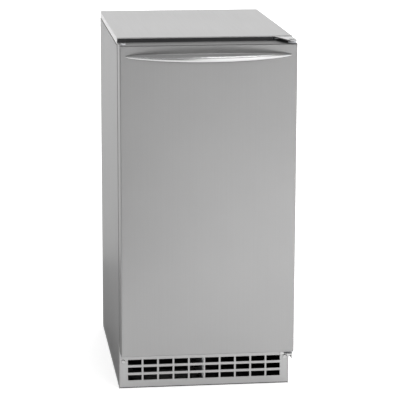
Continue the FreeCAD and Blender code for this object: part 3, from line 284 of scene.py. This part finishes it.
def make_gasket():
    """Magnetic door seal: a bellows with a lip on its outer side, mitred at the four corners."""
    low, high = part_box("door_gasket")
    width, depth = 0.014, high[1] - low[1]
    profile = [
        (0.00, 0.00), (1.00, 0.00), (1.00, 0.10), (0.84, 0.20), (0.94, 0.27), (1.10, 0.30),
        (1.10, 0.35), (0.93, 0.39), (0.82, 0.48), (0.96, 0.58), (1.00, 0.68), (1.00, 0.93),
        (0.95, 1.00), (0.05, 1.00), (0.00, 0.93), (0.00, 0.68), (0.04, 0.58), (0.18, 0.48),
        (0.07, 0.36), (0.16, 0.20), (0.00, 0.10),
    ]
    lip = 0.10 * width
    points = []
    for side_x, side_z in ((-1, -1), (1, -1), (1, 1), (-1, 1)):
        edge_x = high[0] - lip
        edge_z = high[2] - lip if side_z > 0 else low[2] + lip
        for out, deep in profile:
            inset = (1 - out) * width
            points.append((side_x * (edge_x - inset), low[1] + deep * depth, edge_z - side_z * inset))
    faces = ring_faces(4, len(profile), closed_way=True)
    add_piece("bellows_gasket", points, faces, "gasket", "door", "door_gasket",
              smooth=False)


def soft_step(value):
    """0 to 1 with a smooth start and end."""
    value = min(max(value, 0.0), 1.0)
    return value * value * (3 - 2 * value)


def make_door_liner():
    """Vacuum-formed door liner: a raised frame round a dished panel with shallow flutes."""
    low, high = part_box("door_inner_liner")
    bin_low, bin_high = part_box("bin_liner")
    base = 0.002
    panel_x = 0.148
    panel_z = (bin_low[2] + 0.095, bin_high[2] - 0.035)
    frame_width, bend, pitch = 0.030, 0.010, 0.048
    dish_depth, flute_depth = 0.0042, 0.0014
    columns, rows = 120, 210
    points = []
    for row in range(rows + 1):
        z = low[2] + (high[2] - low[2]) * row / rows
        for column in range(columns + 1):
            x = low[0] + (high[0] - low[0]) * column / columns
            inside = min(panel_x - abs(x), z - panel_z[0], panel_z[1] - z)
            rise = (high[1] - low[1] - base) * soft_step(inside / bend)
            dish = soft_step((inside - frame_width) / bend)
            flute = 0.5 + 0.5 * math.cos(2 * math.pi * (z - panel_z[0]) / pitch)
            sunk = dish * (dish_depth - flute_depth * flute)
            points.append((x, low[1] + base + rise - sunk, z))
    across = columns + 1
    faces = [
        (row * across + k, row * across + k + 1, (row + 1) * across + k + 1, (row + 1) * across + k)
        for row in range(rows) for k in range(columns)
    ]
    liner = add_piece("formed_door_liner", points, faces, "white_plastic", "door",
                      "door_inner_liner")
    shell = liner.modifiers.new("shell", "SOLIDIFY")
    shell.thickness = 0.0014
    shell.offset = -1.0 if liner.data.polygons[0].normal.y > 0 else 1.0


def make_condenser_fins():
    """Close pack of thin fins, each with a waved front and back edge."""
    low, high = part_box("condenser_fins")
    count, waves, thickness, wave = 61, 40, 0.0003, 0.0008
    points, faces = [], []
    for fin in range(count):
        x = low[0] + (high[0] - low[0] - thickness) * fin / (count - 1)
        start = len(points)
        for step in range(waves + 1):
            z = low[2] + (high[2] - low[2]) * step / waves
            swing = wave * (step % 2)
            for side_x, y in ((x, low[1] + swing), (x + thickness, low[1] + swing),
                              (x + thickness, high[1] - swing), (x, high[1] - swing)):
                points.append((side_x, y, z))
        faces += [tuple(start + k for k in face) for face in ring_faces(waves + 1, 4)]
        faces.append(tuple(start + k for k in range(4)))
        faces.append(tuple(start + 4 * waves + k for k in range(4)))
    # The fins' black is partly their own paint and partly painted shade behind the grille.
    add_piece("close_fins", points, faces, "black_paint_and_shade", "cabinet", "condenser_fins",
              smooth=False)


def round_point(centre, radius, turn, depth):
    """A point about the fan's axis, at an angle from straight up."""
    return (centre.x + radius * math.sin(turn), centre.y + depth, centre.z + radius * math.cos(turn))


def make_fan():
    """Five blades with twist and camber on a round hub."""
    low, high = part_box("fan_blade")
    centre = Vector(((low[0] + high[0]) / 2, low[1] + 0.008, (low[2] + high[2]) / 2))
    tip = (high[0] - low[0]) / 2
    root, blades, spans, chords, sheet = 0.012, 5, 14, 10, 0.0005
    points, faces = [], []
    for blade in range(blades):
        for side in (-sheet, sheet):
            start = len(points)
            for span in range(spans + 1):
                radius = root + (tip - root) * span / spans
                chord = 0.016 + 0.026 * soft_step(span / spans * 1.3)
                pitch = math.radians(34 - 14 * span / spans)
                for k in range(chords + 1):
                    along = (k / chords - 0.5) * chord
                    camber = 0.10 * chord * (1 - (2 * k / chords - 1) ** 2)
                    sweep = along * math.cos(pitch) / radius
                    turn = 2 * math.pi * blade / blades + sweep
                    depth = along * math.sin(pitch) + camber + side
                    points.append(round_point(centre, radius, turn, depth))
            across = chords + 1
            faces += [
                (start + s * across + k, start + s * across + k + 1,
                 start + (s + 1) * across + k + 1, start + (s + 1) * across + k)
                for s in range(spans) for k in range(chords)
            ]
        faces += blade_rim(len(points) - 2 * (spans + 1) * (chords + 1), spans, chords)
    add_hub(points, faces, centre, high[1])
    add_piece("fan_wheel", points, faces, "aluminium", "fan", "fan_blade",
              smooth=False)


def blade_rim(start, spans, chords):
    """Quads that join a blade's two skins all round its edge."""
    across = chords + 1
    edge = list(range(across))
    edge += [s * across + chords for s in range(1, spans + 1)]
    edge += [spans * across + k for k in range(chords - 1, -1, -1)]
    edge += [s * across for s in range(spans - 1, 0, -1)]
    other = across * (spans + 1)
    faces = []
    for k, here in enumerate(edge):
        there = edge[(k + 1) % len(edge)]
        faces.append((start + here, start + there, start + other + there, start + other + here))
    return faces


def add_hub(points, faces, centre, shaft_end):
    """Round hub with a domed front, and the motor's shaft behind it."""
    around = 40
    outline = [
        (0.0005, -0.008), (0.007, -0.0078), (0.012, -0.0065), (0.015, -0.004), (0.015, 0.008),
        (0.003, 0.008), (0.003, shaft_end - centre.y), (0.0005, shaft_end - centre.y),
    ]
    start = len(points)
    for radius, depth in outline:
        for k in range(around):
            turn = 2 * math.pi * k / around
            points.append(round_point(centre, radius, turn, depth))
    faces += [tuple(start + k for k in face) for face in ring_faces(len(outline), around)]
    faces.append(tuple(start + k for k in range(around)))
    faces.append(tuple(start + (len(outline) - 1) * around + k for k in range(around)))


make_handle()
make_gasket()
make_door_liner()
make_condenser_fins()
make_fan()


# ---------------------------------------------------------------- floor, light and camera

FLOOR_HALF_SIZE = 12.0
CARD_HEIGHT = 0.004


def make_floor(glow):
    """White paper on a light table, so that the object throws next to no shadow."""
    mesh = bpy.data.meshes.new("floor")
    shape = bmesh.new()
    bmesh.ops.create_grid(shape, x_segments=2, y_segments=2, size=FLOOR_HALF_SIZE)
    shape.to_mesh(mesh)
    shape.free()
    floor = bpy.data.objects.new("floor", mesh)
    bpy.context.scene.collection.objects.link(floor)
    paper = plain_surface("floor_paper", (0.93, 0.93, 0.93), 0.9, mottle=0.004, relief=0.0)
    shader = paper.node_tree.nodes["Principled BSDF"]
    shader.inputs["Emission Color"].default_value = (1.0, 1.0, 1.0, 1.0)
    shader.inputs["Emission Strength"].default_value = glow
    floor.data.materials.append(paper)


def make_card(name, low, high, grey):
    """Grey card on the floor that only the metal sees, casting no shadow: painted shade in the metal's
    reflection.
    """
    mesh = bpy.data.meshes.new(name)
    corners = [(low[0], low[1]), (high[0], low[1]), (high[0], high[1]), (low[0], high[1])]
    mesh.from_pydata([(x, y, CARD_HEIGHT) for x, y in corners], [], [(0, 1, 2, 3)])
    card = bpy.data.objects.new(name, mesh)
    bpy.context.scene.collection.objects.link(card)
    mesh.materials.append(plain_surface(name, (grey, grey, grey), 0.9, relief=0.0))
    card.visible_camera = False
    card.visible_diffuse = False
    card.visible_shadow = False


def area_light(name, place, target, size, power, mirrored=False):
    """A soft box that the camera can't see; the metal mirrors it only where asked."""
    data = bpy.data.lights.new(name, "AREA")
    data.shape = "RECTANGLE"
    data.size, data.size_y = size
    data.energy = power
    light = bpy.data.objects.new(name, data)
    light.location = place
    light.rotation_euler = (Vector(target) - Vector(place)).to_track_quat("-Z", "Y").to_euler()
    light.visible_camera = False
    light.visible_glossy = mirrored
    bpy.context.scene.collection.objects.link(light)


def make_world(front, back):
    """Soft studio light: a bright backdrop low behind the object, dimmer in front and overhead."""
    world = bpy.data.worlds.new("studio")
    world.use_nodes = True
    tree = world.node_tree
    nodes, link = tree.nodes, tree.links.new
    place = nodes.new("ShaderNodeTexCoord")
    direction = nodes.new("ShaderNodeVectorMath")
    direction.operation = "DOT_PRODUCT"
    direction.inputs[1].default_value = (0.15, 1.0, -0.6)
    link(place.outputs["Generated"], direction.inputs[0])
    fade = nodes.new("ShaderNodeMapRange")
    fade.interpolation_type = "SMOOTHSTEP"
    fade.inputs["From Min"].default_value = 0.0
    fade.inputs["From Max"].default_value = 0.8
    fade.inputs["To Min"].default_value = front
    fade.inputs["To Max"].default_value = back
    link(direction.outputs["Value"], fade.inputs["Value"])
    background = nodes["Background"]
    background.inputs["Color"].default_value = (1.0, 1.0, 1.0, 1.0)
    link(fade.outputs["Result"], background.inputs["Strength"])
    bpy.context.scene.world = world


def make_camera(eye, target, roll, lens):
    """The photographer's place, with a small roll about the line of sight."""
    data = bpy.data.cameras.new("camera")
    data.lens = lens
    data.sensor_width = 36.0
    data.clip_end = 100.0
    camera = bpy.data.objects.new("camera", data)
    way = (Vector(target) - Vector(eye)).to_track_quat("-Z", "Y")
    camera.rotation_euler = (way.to_matrix() @ Matrix.Rotation(roll, 3, "Z")).to_euler()
    camera.location = eye
    bpy.context.scene.collection.objects.link(camera)
    bpy.context.scene.camera = camera


make_floor(0.48)
# The two cards paint shade into the reflections: the door darker towards its left, and the left side
# darker towards its bottom.
make_card("card_for_door", (-1.8, -3.8), (-0.12, -1.25), 0.20)
make_card("card_for_left_side", (-1.2, -0.35), (-0.192, 0.9), 0.78)
make_world(0.46, 1.35)
# Each light has its name, place, target, size in metres and power in watts.
area_light("over_object", (0.5, -1.1, 2.2), (0.2, -0.9, 0.0), (2.4, 1.6), 12)
area_light("over_background", (0.5, 6.5, 4.0), (0.5, 6.5, 0.0), (9.0, 5.0), 300)
area_light("over_right", (1.6, -2.4, 1.8), (1.0, -1.9, 0.0), (1.2, 1.2), 62)
area_light("over_left", (-2.2, -0.6, 2.0), (-0.9, 0.0, 0.0), (1.6, 1.6), 8)
area_light("strip_box", (1.35, -3.2, 1.55), (0.0, -0.3, 0.7), (2.9, 0.22), 20, mirrored=True)
make_camera((-0.4957, -4.1925, 1.2912), (-0.01035, -0.2525, 0.42337), math.radians(0.133), 168.15)
bpy.context.scene.view_settings.view_transform = "Standard"
